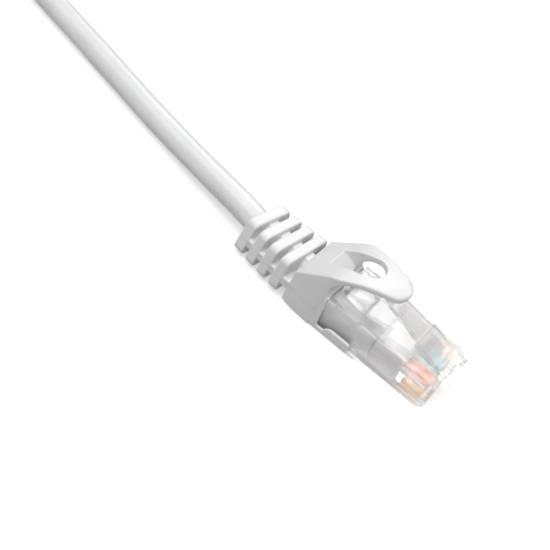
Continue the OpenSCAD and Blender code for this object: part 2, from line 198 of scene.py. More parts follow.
class Surface:
    """A node material with its shader, and the few nodes that every finish here is made of."""

    def __init__(self, name):
        self.material = bpy.data.materials.new(name)
        self.material.use_nodes = True
        self.nodes, self.links = self.material.node_tree.nodes, self.material.node_tree.links
        self.shader = self.nodes["Principled BSDF"]

    def set(self, values):
        for socket, value in values.items():
            self.shader.inputs[socket].default_value = value

    def noise(self, scale, stretch=None):
        """A noise texture whose scale is given as features per metre."""
        where = self.nodes.new("ShaderNodeTexCoord").outputs["Object"]
        noise = self.nodes.new("ShaderNodeTexNoise")
        noise.inputs["Scale"].default_value, noise.inputs["Detail"].default_value = scale, 3.0
        if stretch:
            mapping = self.nodes.new("ShaderNodeMapping")
            mapping.inputs["Scale"].default_value = stretch
            self.links.new(where, mapping.inputs["Vector"])
            where = mapping.outputs["Vector"]
        self.links.new(where, noise.inputs["Vector"])
        return noise.outputs["Fac"]

    def between(self, factor, low, high, end=1.0):
        """Maps a factor that runs from 0 to end to a number that runs from low to high."""
        remap = self.nodes.new("ShaderNodeMapRange")
        remap.inputs["From Max"].default_value = end
        remap.inputs["To Min"].default_value, remap.inputs["To Max"].default_value = low, high
        self.links.new(factor, remap.inputs["Value"])
        return remap.outputs["Result"]

    def maths(self, operation, first, second=0.0):
        """One step of arithmetic on a factor and a number, or on two factors."""
        step = self.nodes.new("ShaderNodeMath")
        step.operation = operation
        self.links.new(first, step.inputs[0])
        if isinstance(second, float):
            step.inputs[1].default_value = second
        else:
            self.links.new(second, step.inputs[1])
        return step.outputs["Value"]

    def colour(self, factor, first, second, start=0.3, end=0.7):
        """Runs the base colour from first to second while a factor runs from start to end."""
        ramp = self.nodes.new("ShaderNodeValToRGB")
        for mark, colour, place in zip(ramp.color_ramp.elements, (first, second), (start, end)):
            mark.color, mark.position = (*colour, 1), place
        self.links.new(factor, ramp.inputs["Fac"])
        self.links.new(ramp.outputs["Color"], self.shader.inputs["Base Color"])

    def roughness(self, factor, low, high):
        self.links.new(self.between(factor, low, high), self.shader.inputs["Roughness"])

    def bump(self, height, distance, strength=1.0):
        """Lifts the shading by height times distance, in metres."""
        lift = self.nodes.new("ShaderNodeBump")
        lift.inputs["Distance"].default_value, lift.inputs["Strength"].default_value = distance, strength
        self.links.new(height, lift.inputs["Height"])
        self.links.new(lift.outputs["Normal"], self.shader.inputs["Normal"])


PARTING, PARTING_HALF_WIDTH, PARTING_LIFT = "parting_distance", 0.09, 5.0


def vinyl(name, light, dark, gloss, scatter=(0.12, 0.8 * MM), parted=False):
    """Satin vinyl that drifts between two close greys, with its mould's parting line if it is parted."""
    surface = Surface(name)
    surface.colour(surface.noise(160), dark, light)
    surface.roughness(surface.noise(700), *gloss)
    height = surface.noise(2600)
    if parted:
        away = surface.nodes.new("ShaderNodeAttribute")
        away.attribute_name = PARTING
        distance = surface.maths("ABSOLUTE", away.outputs["Fac"])
        ridge = surface.between(distance, PARTING_LIFT, 0.0, PARTING_HALF_WIDTH)
        height = surface.maths("ADD", height, ridge)
    surface.bump(height, 0.012 * MM)
    surface.set({"IOR": 1.53, "Subsurface Weight": scatter[0], "Subsurface Scale": scatter[1],
                 "Subsurface Radius": (1.0, 0.9, 0.8)})
    return surface.material


BOOT_VINYL = vinyl("moulded_boot_vinyl", (0.79, 0.79, 0.79), (0.755, 0.755, 0.757), (0.38, 0.5),
                   parted=True)
CABLE_VINYL = vinyl("cable_vinyl", (0.77, 0.775, 0.78), (0.735, 0.74, 0.745), (0.3, 0.42))
INNER_VINYL = vinyl("inner_vinyl", (0.56, 0.56, 0.565), (0.52, 0.525, 0.53), (0.45, 0.55),
                    scatter=(0.8, 3 * MM))
PALE_VINYL = vinyl("pale_inner_vinyl", (0.95, 0.95, 0.95), (0.92, 0.92, 0.92), (0.3, 0.4))
print("vinyls:", BOOT_VINYL.name, CABLE_VINYL.name, INNER_VINYL.name, PALE_VINYL.name)

# %% [markdown]
# ## The cable's way
# The lead leaves the boot's tail, drops to the table, runs out of the picture, and is put away there
# as a hank of eight runs in two layers. The visible stretch is a short list of given places. The folds
# are not listed: a radius that shrinks and grows at a steady rate is worked out by a loop, so no
# two turns can meet. The numbers are the same ones as in the solids.
# %% The cable's way
CABLE_D, AXIS_Z = 5.0, 3.9
BOOT_L, TAIL_L, TAIL_BEND = 7.8, 11.65, 10.9
HALF_TURNS, RUN_L, FOLD_R, TURN_STEP = 8, 24.4, 15.0, 5.45
LOWER_Z, UPPER_Z = 3.35, 3.35 + TURN_STEP
HANK_NEAR_X, OUTER_RUN_Y = -95, 18
HANK_X = HANK_NEAR_X - RUN_L / 2 - FOLD_R - 2 * TURN_STEP - CABLE_D / 2
HANK_Y = OUTER_RUN_Y - FOLD_R - 2 * TURN_STEP
FAR_PLUG = Vector((HANK_X - RUN_L / 2 + CABLE_D + BOOT_L + TAIL_L, HANK_Y - FOLD_R - TURN_STEP,
                   UPPER_Z + CABLE_D / 2 + 0.05))
ENDS = (("near", Vector((0, 0, 0)), TAIL_BEND, NEAR_GUARD, NEAR_LATCH),
        ("far", FAR_PLUG, 0.0, FAR_GUARD, FAR_LATCH))


def ease(f):
    return f * f * (3 - 2 * f)


def tail_point(s, bend):
    """A point of the boot's tail, s behind its body, on a bend given in degrees."""
    if not bend:
        return Vector((-BOOT_L - s, 0, AXIS_Z))
    radius = TAIL_L / math.radians(bend)
    turn = math.radians(bend) * s / TAIL_L
    return Vector((-BOOT_L - radius * math.sin(turn), radius * (1 - math.cos(turn)), AXIS_Z))


def near_stretch():
    """From the near boot's tail down to the surface and along it to the hank."""
    end = tail_point(TAIL_L, TAIL_BEND)
    turn = math.radians(TAIL_BEND)
    out = end + CABLE_D * Vector((-math.cos(turn), math.sin(turn), 0))
    route = [(-32, 3.5, 3.5), (-40, 5.1, 3), (-50, 7.2, 2.6), (-60, 9.3, 2.5), (-70, 11.4, 2.5),
             (-80, 13.4, 2.5), (-88, 15, 2.5), (-96, 16.5, 2.6), (-104, 17.6, 2.9),
             (-111, OUTER_RUN_Y, 3.2), (-118, OUTER_RUN_Y, LOWER_Z)]
    return [end, out] + [Vector(p) for p in route]


def turn_radius(k, f=0.0):
    """The k-th fold's radius: in by half a step each on the lower layer, out again on the upper."""
    here, there = (abs(i - HALF_TURNS / 2) / 2 for i in (k, k + 1))
    return FOLD_R + TURN_STEP * (here + (there - here) * ease(f))


def layer_z(k):
    return LOWER_Z if k < HALF_TURNS / 2 else UPPER_Z


def hank_turns():
    """Eight runs and folds. Even runs lie on the far side and go towards -X."""
    points = []
    for k in range(HALF_TURNS):
        way = -1 if k % 2 == 0 else 1
        steps = 5 if k == HALF_TURNS / 2 else 2
        low, high = layer_z(max(0, k - 1)), layer_z(k)
        for s in range(steps):
            f = s / steps
            points.append((HANK_X + way * (f - 0.5) * RUN_L, HANK_Y - way * turn_radius(k),
                           low + (high - low) * ease(f)))
        for s in range(10):
            f = s / 10
            turn, radius = math.radians(-way * 90 + 180 * f), turn_radius(k, f)
            points.append((HANK_X + way * RUN_L / 2 + radius * math.cos(turn),
                           HANK_Y + radius * math.sin(turn), high))
    return [Vector(p) for p in points]


def lead_out():
    """From the hank's last fold up on top of it, and round into the far boot."""
    run, climb = RUN_L - CABLE_D, 38.0
    end_z = FAR_PLUG.z + AXIS_Z

    def height(s, f):
        rise = ease(min(1, max(0, (s - CABLE_D) / climb)))
        return UPPER_Z + TURN_STEP * rise + (end_z - UPPER_Z - TURN_STEP) * ease(max(0, 2 * f - 1))

    points = [Vector((HANK_X + RUN_L / 2, OUTER_RUN_Y, UPPER_Z))]
    for s in (0, 1, 1.7, 2.4, 3.1):
        x = HANK_X + RUN_L / 2 - CABLE_D * (1 + s)
        points.append(Vector((x, OUTER_RUN_Y, height(CABLE_D * s, 0))))
    for i in range(17):
        f = i / 16
        radius, turn = FOLD_R + TURN_STEP * (2 - ease(f)), math.radians(90 + 180 * f)
        points.append(Vector((HANK_X - RUN_L / 2 + radius * math.cos(turn),
                              HANK_Y + radius * math.sin(turn), height(run + f * math.pi * radius, f))))
    points.append(Vector((HANK_X - RUN_L / 2 + CABLE_D, FAR_PLUG.y, end_z)))
    return points


def hermite(f, start, leaving, end, arriving):
    """A smooth way from start to end while f runs from 0 to 1, with a slope at each of them."""
    return (start * (2 * f**3 - 3 * f**2 + 1) + leaving * (f**3 - 2 * f**2 + f)
            + end * (3 * f**2 - 2 * f**3) + arriving * (f**3 - f**2))


def smooth_line(points, step):
    """A curve through all the points, cut into even steps, all in millimetres."""
    line = [points[0]]
    padded = [2 * points[0] - points[1]] + list(points) + [2 * points[-1] - points[-2]]
    for a, b, c, d in zip(padded, padded[1:], padded[2:], padded[3:]):
        reach = (c - b).length
        pieces = max(1, round(reach / step))
        leaving, arriving = (c - a).normalized() * reach, (d - b).normalized() * reach
        line += [hermite(i / pieces, b, leaving, c, arriving) for i in range(1, pieces + 1)]
    return line


cable_line = [p * MM for p in smooth_line(near_stretch() + hank_turns() + lead_out(), 1.6)]
cable_length = sum((b - a).length for a, b in zip(cable_line, cable_line[1:]))
print("free cable:", round(cable_length, 4), "m in", len(cable_line), "points")

# %% [markdown]
# ## The cable
# A cable is extruded, and the twisted pairs inside it show as a slow spiral that lifts its skin by a
# few hundredths of a millimetre. A curve with a bevel would draw a plain round one. A mesh tube can
# have its skin lifted, and it carries its distance and its turn as texture coordinates, which the
# stripes on the conductors need later.
# %% The cable


def ring_frames(line):
    """A direction and two crossing directions at each point, carried along without twisting."""
    up = Vector((0, 0, 1))
    frames = []
    for i, point in enumerate(line):
        way = (line[min(i + 1, len(line) - 1)] - line[max(i - 1, 0)]).normalized()
        up = (up - up.dot(way) * way).normalized()
        frames.append((point, way, up.cross(way), up))
    return frames


def add_skin(bm, rings, along, across, slot=0, closed=False):
    """Joins rings of points. along and across are their texture coordinates."""
    uv = bm.loops.layers.uv.verify()
    count = len(rings[0])
    for i, (a, b) in enumerate(zip(rings, rings[1:] + rings[:1] if closed else rings[1:])):
        for k in range(count):
            j = (k + 1) % count
            face = bm.faces.new((a[k], a[j], b[j], b[k]))
            face.material_index = slot
            corners = ((i, k), (i, k + 1), (i + 1, k + 1), (i + 1, k))
            for loop, (row, column) in zip(face.loops, corners):
                loop[uv].uv = (along[row], across[column])
    if not closed:
        for ring in (rings[0][::-1], rings[-1]):
            bm.faces.new(ring).material_index = slot


def add_tube(bm, line, radius, sides, lift=None, slot=0):
    """Adds a closed tube. lift(distance, turn) may raise its skin, in the line's own unit."""
    rings, along = [], [0.0]
    for a, b in zip(line, line[1:]):
        along.append(along[-1] + (b - a).length)
    for distance, (point, _, side, up) in zip(along, ring_frames(line)):
        ring = []
        for k in range(sides):
            turn = 2 * math.pi * k / sides
            reach = radius + (lift(distance, turn) if lift else 0.0)
            ring.append(bm.verts.new(point + reach * (math.cos(turn) * side + math.sin(turn) * up)))
        rings.append(ring)
    add_skin(bm, rings, along, [k / sides for k in range(sides + 1)], slot)


PAIR_LAY, PAIR_LIFT = 0.019, 0.02 * MM
DRAWN_RADIUS = CABLE_D / 2 * MM - PAIR_LIFT


def pair_swell(distance, turn):
    """Four twisted pairs push the jacket out a little, on a slow spiral."""
    return PAIR_LIFT * math.cos(4 * (turn - 2 * math.pi * distance / PAIR_LAY / 4))


bm = bmesh.new()
add_tube(bm, cable_line, DRAWN_RADIUS, 28, lift=pair_swell)
cable = piece_from(bm, "patch_cable", CABLE_VINYL, smooth_angle=60)
carry(cable, TRUNK, "jacket", "cable_run", "cable_hank", "cable_lead_out")
print("cable faces:", len(cable.data.polygons))

# %% [markdown]
# ## Lofted slabs
# The boot is one soft moulding, yet it is easiest to think of as a few solid forms that run into each
# other. All of them are lofts along the plug's axis, drawn in millimetres as on a drawing and shrunk to
# metres at the end. A slab's rim is rounded by drawing its end sections a little smaller, which is
# what a moulder's radius looks like, and it costs far fewer steps than beveling afterwards.
# %% Slabs


def trapezoid(bottom, top, low, high, radius, inset=0.0, top_radius=None, crown=0.0):
    """An upright trapezoid with rounded corners, given by its half widths, with a crowned top."""
    outline = []
    low_r, high_r = (max(0.05, r - inset) for r in (radius, top_radius or radius))
    corners = ((bottom, low, -90, low_r), (top, high, 0, high_r), (-top, high, 90, high_r),
               (-bottom, low, 180, low_r))
    for half, side_z, start, r in corners:
        cu = (abs(half) - inset - r) * (1 if half > 0 else -1)
        cv = side_z + (inset + r) * (1 if side_z == low else -1)
        outline += arc(cu, cv, r, start, start + 90, 5)
        if start == 0 and crown:
            for k in range(1, 8):
                f = 1 - k / 4
                outline.append((f * cu, high - inset + crown * (1 - f * f)))
    return outline


def rim_steps(half, rim):
    """Stations across a slab of the given half thickness, each with how far its outline draws in."""
    turns = [math.radians(90 * k / 3) for k in range(4)]
    front = [(half - rim + rim * math.sin(t), rim * (1 - math.cos(t))) for t in turns]
    return [(-x, inset) for x, inset in reversed(front)] + front


def add_slab(bm, place, half, rim, bottom, top, low, high, radius):
    """Adds a slab with a rounded rim. place turns (along, across, up) into a point."""
    add_loft(bm, [[Vector(place(x, u, v)) for u, v in trapezoid(bottom, top, low, high, radius, inset)]
                  for x, inset in rim_steps(half, rim)])


FIRST_LEAN = 0.45


def tail_place(middle, bend):
    """Places slab points on the boot's bent tail. The first ribs already lean a little."""
    centre = tail_point(middle, bend)
    turn = math.radians(bend) * (FIRST_LEAN + (1 - FIRST_LEAN) * middle / TAIL_L)
    back = Vector((-math.cos(turn), math.sin(turn), 0))
    side = Vector((math.sin(turn), math.cos(turn), 0))
    return lambda x, u, v: centre - back * x + side * u + Vector((0, 0, v - AXIS_Z))


def smooth_at(table, x):
    """The value at x of a smooth line through a table of (x, value) places."""
    if x <= table[0][0] or x >= table[-1][0]:
        return table[0][1] if x <= table[0][0] else table[-1][1]
    i = max(k for k in range(len(table) - 1) if table[k][0] <= x)

    def slope(k):
        (x0, v0), (x1, v1) = table[max(0, k - 1)], table[min(len(table) - 1, k + 1)]
        return (v1 - v0) / (x1 - x0)

    (x0, v0), (x1, v1) = table[i], table[i + 1]
    reach = x1 - x0
    return hermite((x - x0) / reach, v0, slope(i) * reach, v1, slope(i + 1) * reach)


print("a rib's rim:", [round(x, 2) for x, _ in rim_steps(0.725, 0.25)])

# %% [markdown]
# ## The boot and its hood
# On the real cable the boot is moulded straight onto the jacket: a wedge behind the plug, a collar
# and a low lip that hold the plug, four ribs that let the tail bend, and a springy hood over the
# latch. Booleans would join these forms with hard, thin creases. A voxel remesh of the whole pile
# gives one skin instead, and a few smoothing passes melt the inner corners as mould fillets do. The
# hood's opening is cut before that, so that its rim is melted too, and the plug's seat after it,
# so that the seat stays crisp.
# %% Boot forms
PLUG_Z, PLUG_W, PLUG_TOP = 0.6, 11.68, 7.2
TOP_LINE = [(-BOOT_L, 7.4), (-5.4, 9.3), (-2.3, 11.8), (-1.1, 12.42), (0.3, 12.95), (3.1, 13.75),
            (6.5, 14.1), (9.7, 13.95)]
LOW_LINE = [(-BOOT_L, 0.4), (-5.4, 0.1), (-2.3, 0.0), (-1.1, 0.0)]
LOW_HALF = [(-BOOT_L, 5.95), (-5.4, 6.25), (-2.3, 6.4), (-1.7, 6.42), (-1.1, 6.15)]
TOP_HALF = [(-BOOT_L, 5.6), (-5.4, 5.8), (-2.3, 6.05), (-1.7, 6.1), (-1.1, 6.02)]
CROWN_LINE = [(-BOOT_L, 0.0), (-3.0, 0.12), (2.0, 0.3), (9.7, 0.35)]
BODY_FRONT, BODY_R, CREST_R = -1.1, 0.45, 0.3
COLLAR_FOOT, COLLAR_CREST, COLLAR_LOW, COLLAR_HIGH, COLLAR_LEAN = 6.38, 6.05, 0.35, 7.5, 0.65
TRAY_HALF, TRAY_HIGH, MOULD_R = 6.3, 2.7, 0.7
LIP_END, LIP_LOW, FIN_X, FIN_HIGH, FIN_ROUND = 6.7, 1.1, 1.4, 2.3, 1.8
RIB_PITCH, RIB_T, RIBS, FIRST_GAP, LAST_EXTRA = 2.85, 1.45, 4, 1.1, 0.55
RIB_LOW, RIB_HIGH, RIB_R, SLEEVE_R = 0.55, 7.6, 1.2, 2.75
SWELL, REAR_SWELL = 0.15, 0.35
# Half widths at the first rib, and what each next rib loses.
RIB_FOOT, RIB_CREST, SIDE_WEB = (6.1, 0.22), (5.5, 0.35), (5.78, 0.28)
SIDE_WEB_Z, TOP_WEB_HALF, TOP_WEB_Z = (-1.2, 0.6), 1.2, (2.0, 2.85)


def add_boot_body(bm):
    """The wedge behind the plug, whose front corners are rounded into its cheeks."""
    stations = [-BOOT_L, -7.0, -6.2, -5.4, -4.6, -3.8, -3.0, -2.3, -1.9, -1.6, -1.35, BODY_FRONT]
    tables = (LOW_HALF, TOP_HALF, LOW_LINE, TOP_LINE)
    add_loft(bm, [[(x, u, v) for u, v in trapezoid(
        *(smooth_at(table, x) for table in tables), BODY_R, top_radius=CREST_R,
        crown=smooth_at(CROWN_LINE, x) + 0.001)] for x in stations])


def add_collar(bm):
    """A thin frame round the plug's end that leans back a little."""
    outline = trapezoid(COLLAR_FOOT, COLLAR_CREST, COLLAR_LOW, COLLAR_HIGH, MOULD_R)
    lean = COLLAR_LEAN / COLLAR_HIGH
    add_loft(bm, [[(BODY_FRONT - 0.3, u, v) for u, v in outline],
                  [(-lean * v, u, v) for u, v in outline]])


def lip_outline():
    """The tray's side view: low at the collar, then fins that start in a round."""
    fin = [(FIN_X + FIN_ROUND * (1 - math.cos(t)), LIP_LOW + (FIN_HIGH - LIP_LOW) * math.sin(t))
           for t in (math.radians(9 * k) for k in range(10, -1, -1))]
    return [(-1, -1), (LIP_END, -1), (LIP_END, FIN_HIGH - 0.3), (LIP_END - 0.1, FIN_HIGH - 0.08),
            (LIP_END - 0.3, FIN_HIGH)] + fin + [(-1, LIP_LOW)]


def add_ribs(bm, bend):
    """Slabs on the tail, with a sleeve and webs between them."""
    for k in range(RIBS):
        thick = RIB_T + SWELL + (LAST_EXTRA if k == RIBS - 1 else REAR_SWELL)
        front = FIRST_GAP + RIB_PITCH * k - SWELL
        gap = (FIRST_GAP if k == 0 else RIB_PITCH - RIB_T - REAR_SWELL) - SWELL
        foot, crest, side = (first - loss * k for first, loss in (RIB_FOOT, RIB_CREST, SIDE_WEB))
        add_slab(bm, tail_place(front + thick / 2, bend), thick / 2, 0.25, foot, crest,
                 RIB_LOW, RIB_HIGH, RIB_R)
        middle, reach = tail_place(front - gap / 2, bend), gap / 2 + 0.4
        for half_w, (low, high) in ((side, SIDE_WEB_Z), (TOP_WEB_HALF, TOP_WEB_Z)):
            add_slab(bm, middle, reach, 0.1, half_w, half_w, AXIS_Z + low, AXIS_Z + high, 0.2)
        ring = arc(0, AXIS_Z, SLEEVE_R, 0, 360, 24)[:-1]
        add_loft(bm, [[middle(x, u, v) for u, v in ring] for x in (-reach, reach)])


print("ribs:", RIBS, "every", RIB_PITCH, "mm")

# %% Hood
HOOD_TIP_X, HOOD_TIP_R, HOOD_ROOT_X, HOOD_ROOT = 6.3, 3.4, -0.6, 6.05
HOOD_T, HOOD_RIM = 1.2, 0.3
ROOT_FILLET, ROOT_FILLET_MOST, ROOT_FILLET_L = 1.5, 1.6, 2.2


def hood_side():
    """The side's slope, and where it meets the round tip: a tangent from the root to the circle."""
    run, rise = HOOD_TIP_X - HOOD_ROOT_X, HOOD_ROOT
    slope = math.atan2(rise, run) - math.asin(HOOD_TIP_R / math.hypot(run, rise))
    return slope, HOOD_TIP_X + HOOD_TIP_R * math.sin(slope)


HOOD_SLOPE, HOOD_MEET = hood_side()


def hood_half_width(x):
    if x > HOOD_MEET:
        return math.sqrt(max(0.0, HOOD_TIP_R**2 - (x - HOOD_TIP_X)**2))
    return HOOD_ROOT - math.tan(HOOD_SLOPE) * max(0.0, x - HOOD_ROOT_X)


def hood_rim_drop(x, u):
    """How far the hood's skin has rolled over at (x, u), from its distance to the hood's edge."""
    if x > HOOD_MEET:
        inside = HOOD_TIP_R - math.hypot(x - HOOD_TIP_X, u)
    else:
        inside = (hood_half_width(x) - abs(u)) * math.cos(HOOD_SLOPE)
    inside = min(HOOD_RIM, max(0.0, inside))
    return HOOD_RIM - math.sqrt(HOOD_RIM**2 - (HOOD_RIM - inside)**2)


def add_hood(bm):
    """A springy crowned tongue. Its underside runs down into the cheeks in a large fillet, and its
    sections stand closer together towards the round tip."""
    stations = [-1.5 + 0.5 * i for i in range(20)] + [8.4, 8.75, 9.05, 9.3, 9.48, 9.6, 9.66, 9.69]
    across = [math.sin(math.pi / 2 * (k / 9 - 1)) for k in range(19)]
    sections = []
    for x in stations:
        half, crown = hood_half_width(x), smooth_at(CROWN_LINE, x)
        fillet = min(ROOT_FILLET_MOST,
                     ROOT_FILLET * max(0.0, 1 - (x - BODY_FRONT) / ROOT_FILLET_L)**2)
        over, under = [], []
        for f in across:
            drop = hood_rim_drop(x, f * half)
            top = smooth_at(TOP_LINE, x) + crown * (1 - f * f)
            over.append(Vector((x, f * half, top - drop)))
            under.append(Vector((x, f * half, top - HOOD_T - fillet + drop)))
        sections.append(over + under[::-1])
    add_loft(bm, sections)


print("hood half widths:", [round(hood_half_width(x), 2) for x in (0, 3, 6, 8, 9)])

# %% Boot mesh
OPENING_R, OPENING_FRONT, OPENING_BACK, OPENING_CORNER = 2.7, 4.25, -4.25, 0.45
RAMP_BACK, RAMP_FOOT = (-5.0, 10.558), (-1.0, 8.754)
VOXEL, SMOOTHING, KEEP = 0.11, 5, 0.4
HOOD_BEND = (-1.7, 0, 10.9), (-0.315, 0, 12.977)
PARTING_Z = 4.0


def remeshed(piece):
    """One skin over all of a piece's overlapping forms, smoothed and thinned."""
    remesh = piece.modifiers.new("remesh", "REMESH")
    remesh.mode, remesh.voxel_size, remesh.use_smooth_shade = "VOXEL", VOXEL, True
    smooth = piece.modifiers.new("smooth", "SMOOTH")
    smooth.factor, smooth.iterations = 0.5, SMOOTHING
    piece.modifiers.new("thin", "DECIMATE").ratio = KEEP
    return apply_modifiers(piece)


def opening_outline():
    """The opening's plan: a half round front, near-straight sides and two rounded rear corners."""
    back, side = OPENING_BACK + OPENING_CORNER, OPENING_R - 0.1 - OPENING_CORNER
    return (arc(OPENING_FRONT - OPENING_R, 0, OPENING_R, -90, 90, 24)
            + arc(back, side, OPENING_CORNER, 90, 180, 6) + arc(back, -side, OPENING_CORNER, 180, 270, 6))


def solid(name, build, *args):
    """A mesh object in millimetres, filled by one of the add_ functions."""
    bm = bmesh.new()
    build(bm, *args)
    return piece_from(bm, name)


def opening_tool():
    """What is cut out for the latch's tab: the opening's plan, down to a ramp in the boot's top."""
    ramp = [RAMP_BACK, RAMP_FOOT, (6.0, RAMP_FOOT[1]), (6.0, 20.0), (RAMP_BACK[0], 20.0)]
    tool = solid("opening", add_prism, opening_outline(), "Z", 5.0, 25.0)
    return cut(tool, solid("ramp", add_prism, ramp, "Y", -4.0, 4.0), "INTERSECT")


def jacket_way(bend):
    """The jacket's middle line from inside the plug to the tail's end."""
    end = tail_point(TAIL_L, bend)
    turn = math.radians(bend)
    return ([Vector((3, 0, AXIS_Z)), Vector((0, 0, AXIS_Z)), Vector((-BOOT_L, 0, AXIS_Z))]
            + [tail_point(TAIL_L * i / 6, bend) for i in range(1, 7)]
            + [end + Vector((-math.cos(turn), math.sin(turn), 0))])


def pile_up(name, pieces):
    """Puts several overlapping solids into one mesh."""
    bm = bmesh.new()
    for piece in pieces:
        bm.from_mesh(piece.data)
        bpy.data.objects.remove(piece)
    return piece_from(bm, name)


def boot_mesh(name, bend):
    """The boot's forms in one skin, with the plug's seat and the jacket's bore cut out of it."""
    tray = trapezoid(TRAY_HALF, TRAY_HALF, 0.0, TRAY_HIGH, MOULD_R)
    lip = cut(solid("lip", add_prism, lip_outline(), "Y", -8, 8),
              solid("tray", add_prism, tray, "X", -1.0, 7.0), "INTERSECT")
    forms = [cut(solid("body", add_boot_body), opening_tool()),
             cut(solid("hood", add_hood), opening_tool()),
             solid("collar", add_collar), lip, solid("ribs", add_ribs, bend)]
    boot = remeshed(pile_up(name, forms))
    seat = rounded_box_outline(PLUG_W + 0.02, PLUG_Z - 0.01, PLUG_TOP + 0.01, 0.5)
    cut(boot, solid("seat", add_prism, seat, "X", -1.0, 20.0))
    cut(boot, solid("bore", add_tube, smooth_line(jacket_way(bend), 0.8), CABLE_D / 2 + 0.01, 32))
    return boot


def mark_parting(piece):
    """Stores each point's distance from the mould's parting plane, in the drawing's millimetres."""
    away = piece.data.attributes.new(PARTING, "FLOAT", "POINT")
    away.data.foreach_set("value", [vertex.co.z - PARTING_Z for vertex in piece.data.vertices])
    return piece


def finish(piece, material, place=Vector((0, 0, 0)), angle=35.0):
    """Shrinks a piece drawn in millimetres to metres, in its own end's place."""
    piece.data.transform(Matrix.Translation(place * MM) @ Matrix.Scale(MM, 4))
    piece.data.materials.clear()
    piece.data.materials.append(material)
    piece.data.shade_smooth()
    piece.data.set_sharp_from_angle(angle=math.radians(angle))
    return piece


for end, place, tail_bend, guard, _ in ENDS:
    boot = finish(mark_parting(boot_mesh(end + "_boot_and_hood", tail_bend)), BOOT_VINYL, place)
    carry_bent(boot, guard, *HOOD_BEND, place, "boot_vinyl", end + "_boot", end + "_latch_guard")
    print(end, "boot faces:", len(boot.data.polygons))

# %% [markdown]
# ## Clear plastic
# The plug's shell is clear polycarbonate, and it shows itself by its edges, its highlights and the way
# it bends what is behind it. A shell drawn with alpha alone would show none of that, so most of the
# light is bent through it. A third goes straight through instead, because in a piece this small and
# this full, nothing but bent light would leave only a tangle of dark edges. The faint flow lines that
# a moulding carries are a stretched noise in its bump.
# %% Clear plastic


def clear_plastic(name):
    surface = Surface(name)
    # The faint warm tint is partly the plastic's own and partly painted reflection: it stands in for the
    # pinkish-brown glow of the orange wires and the gold in the shell's edges.
    surface.colour(surface.noise(300), (0.985, 0.965, 0.96), (1.0, 0.985, 0.98))
    surface.set({"Transmission Weight": 0.9, "Alpha": 0.65, "IOR": 1.49})
    surface.roughness(surface.noise(900), 0.015, 0.045)
    surface.bump(surface.noise(500, stretch=(0.3, 1, 1)), 0.006 * MM)
    return surface.material


SHELL_CLEAR = clear_plastic("clear_polycarbonate")
print("clear:", SHELL_CLEAR.name)

# %% [markdown]
# ## The plug's shell
# The shell is a plain box with moulder's radii, hollow behind, with a slot for each contact under its
# nose. Its flats have to stay flat, because clear walls magnify every ripple, so nothing is remeshed
# here: exact booleans cut it, and a narrow bevel rounds the edges afterwards.
# %% Shell
NOSE_X, HINGE_X, HINGE_Z, ROOT_T = 22.0, 19.6, 7.35, 1.1
WIRE_Z, PITCH, WAYS = 4.5, 1.02, 8
BLADE_X, BLADE_L, BLADE_T = 16.8, 3.9, 0.35
SLOT_X, WIRE_X, GUIDE_X, JACKET_X = 15.6, 20.4, 9.6, 3.0
CAVITY_W, CAVITY_LOW, CAVITY_HIGH = 9.6, PLUG_Z + 0.7, PLUG_TOP - 0.6
SHELL_R, NOSE_R, SLOT_HALF, BLOCK_W, BLOCK_FRONT = 0.5, 0.8, 0.21, 6.2, 22.9
# Blocks are (start, length, width, lowest, highest).
NOSE_STEP = NOSE_X - 1.1, 2, 13, PLUG_TOP - 0.75, PLUG_TOP + 1
CATCH_BUMP = 6.8, 1.5, 1.0, PLUG_Z - 0.4, PLUG_Z + 1.4
WINDOW = 0.6, 4.8, 5.6, PLUG_TOP - 0.7, PLUG_TOP + 1


def contact_y(i):
    return (i - (WAYS - 1) / 2) * PITCH


def box_outline(width, low, high):
    return [(width / 2, high), (-width / 2, high), (-width / 2, low), (width / 2, low)]


def block(name, x, length, width, low, high):
    return solid(name, add_prism, box_outline(width, low, high), "X", x, x + length)


def wire_row(x, length):
    """The flat slot that the row of conductors lies in."""
    return block("row", x, length, WAYS * PITCH + 0.1, WIRE_Z - 0.525, WIRE_Z + 0.525)


def nose_plan():
    """The shell seen from above, with its nose's corners rounded."""
    half = PLUG_W / 2 + 0.01
    return ([(-2, -half)] + arc(NOSE_X - NOSE_R, NOSE_R - half, NOSE_R, -90, 0, 6)
            + arc(NOSE_X - NOSE_R, half - NOSE_R, NOSE_R, 0, 90, 6) + [(-2, half)])


def shell_mesh(name):
    end_view = rounded_box_outline(PLUG_W, PLUG_Z, PLUG_TOP, SHELL_R)
    shell = solid(name, add_prism, end_view, "X", -1.0, NOSE_X)
    cut(shell, solid("plan", add_prism, nose_plan(), "Z", PLUG_Z - 1, PLUG_TOP + 1), "INTERSECT")
    cut(shell, block("nose_step", *NOSE_STEP))
    latch_block = rounded_box_outline(BLOCK_W, PLUG_Z + 4.8, HINGE_Z + ROOT_T, 0.6)
    cut(shell, solid("latch_block", add_prism, latch_block, "X", HINGE_X, BLOCK_FRONT), "UNION")
    for side in (1, -1):
        bump = block("catch_bump", *CATCH_BUMP)
        bump.data.transform(Matrix.Translation((0, side * (PLUG_W / 2 - 0.2), 0)))
        cut(shell, bump, "UNION")
    cut(shell, block("cavity", -2, SLOT_X + 2, CAVITY_W, CAVITY_LOW, CAVITY_HIGH))
    cut(shell, wire_row(SLOT_X - 0.1, 5.2))
    cut(shell, block("window", *WINDOW))
    slots = bmesh.new()
    back, front, foot = BLADE_X - 0.1, BLADE_X + BLADE_L + 0.1, PLUG_Z + 1.6
    outline = [(back, PLUG_Z - 1), (NOSE_X + 1, PLUG_Z - 1), (NOSE_X + 1, foot), (front, foot),
               (front, WIRE_Z), (back, WIRE_Z)]
    for i in range(WAYS):
        add_prism(slots, outline, "Y", contact_y(i) - SLOT_HALF, contact_y(i) + SLOT_HALF)
    cut(shell, piece_from(slots, "slots"))
    return bevel(shell, 0.12)


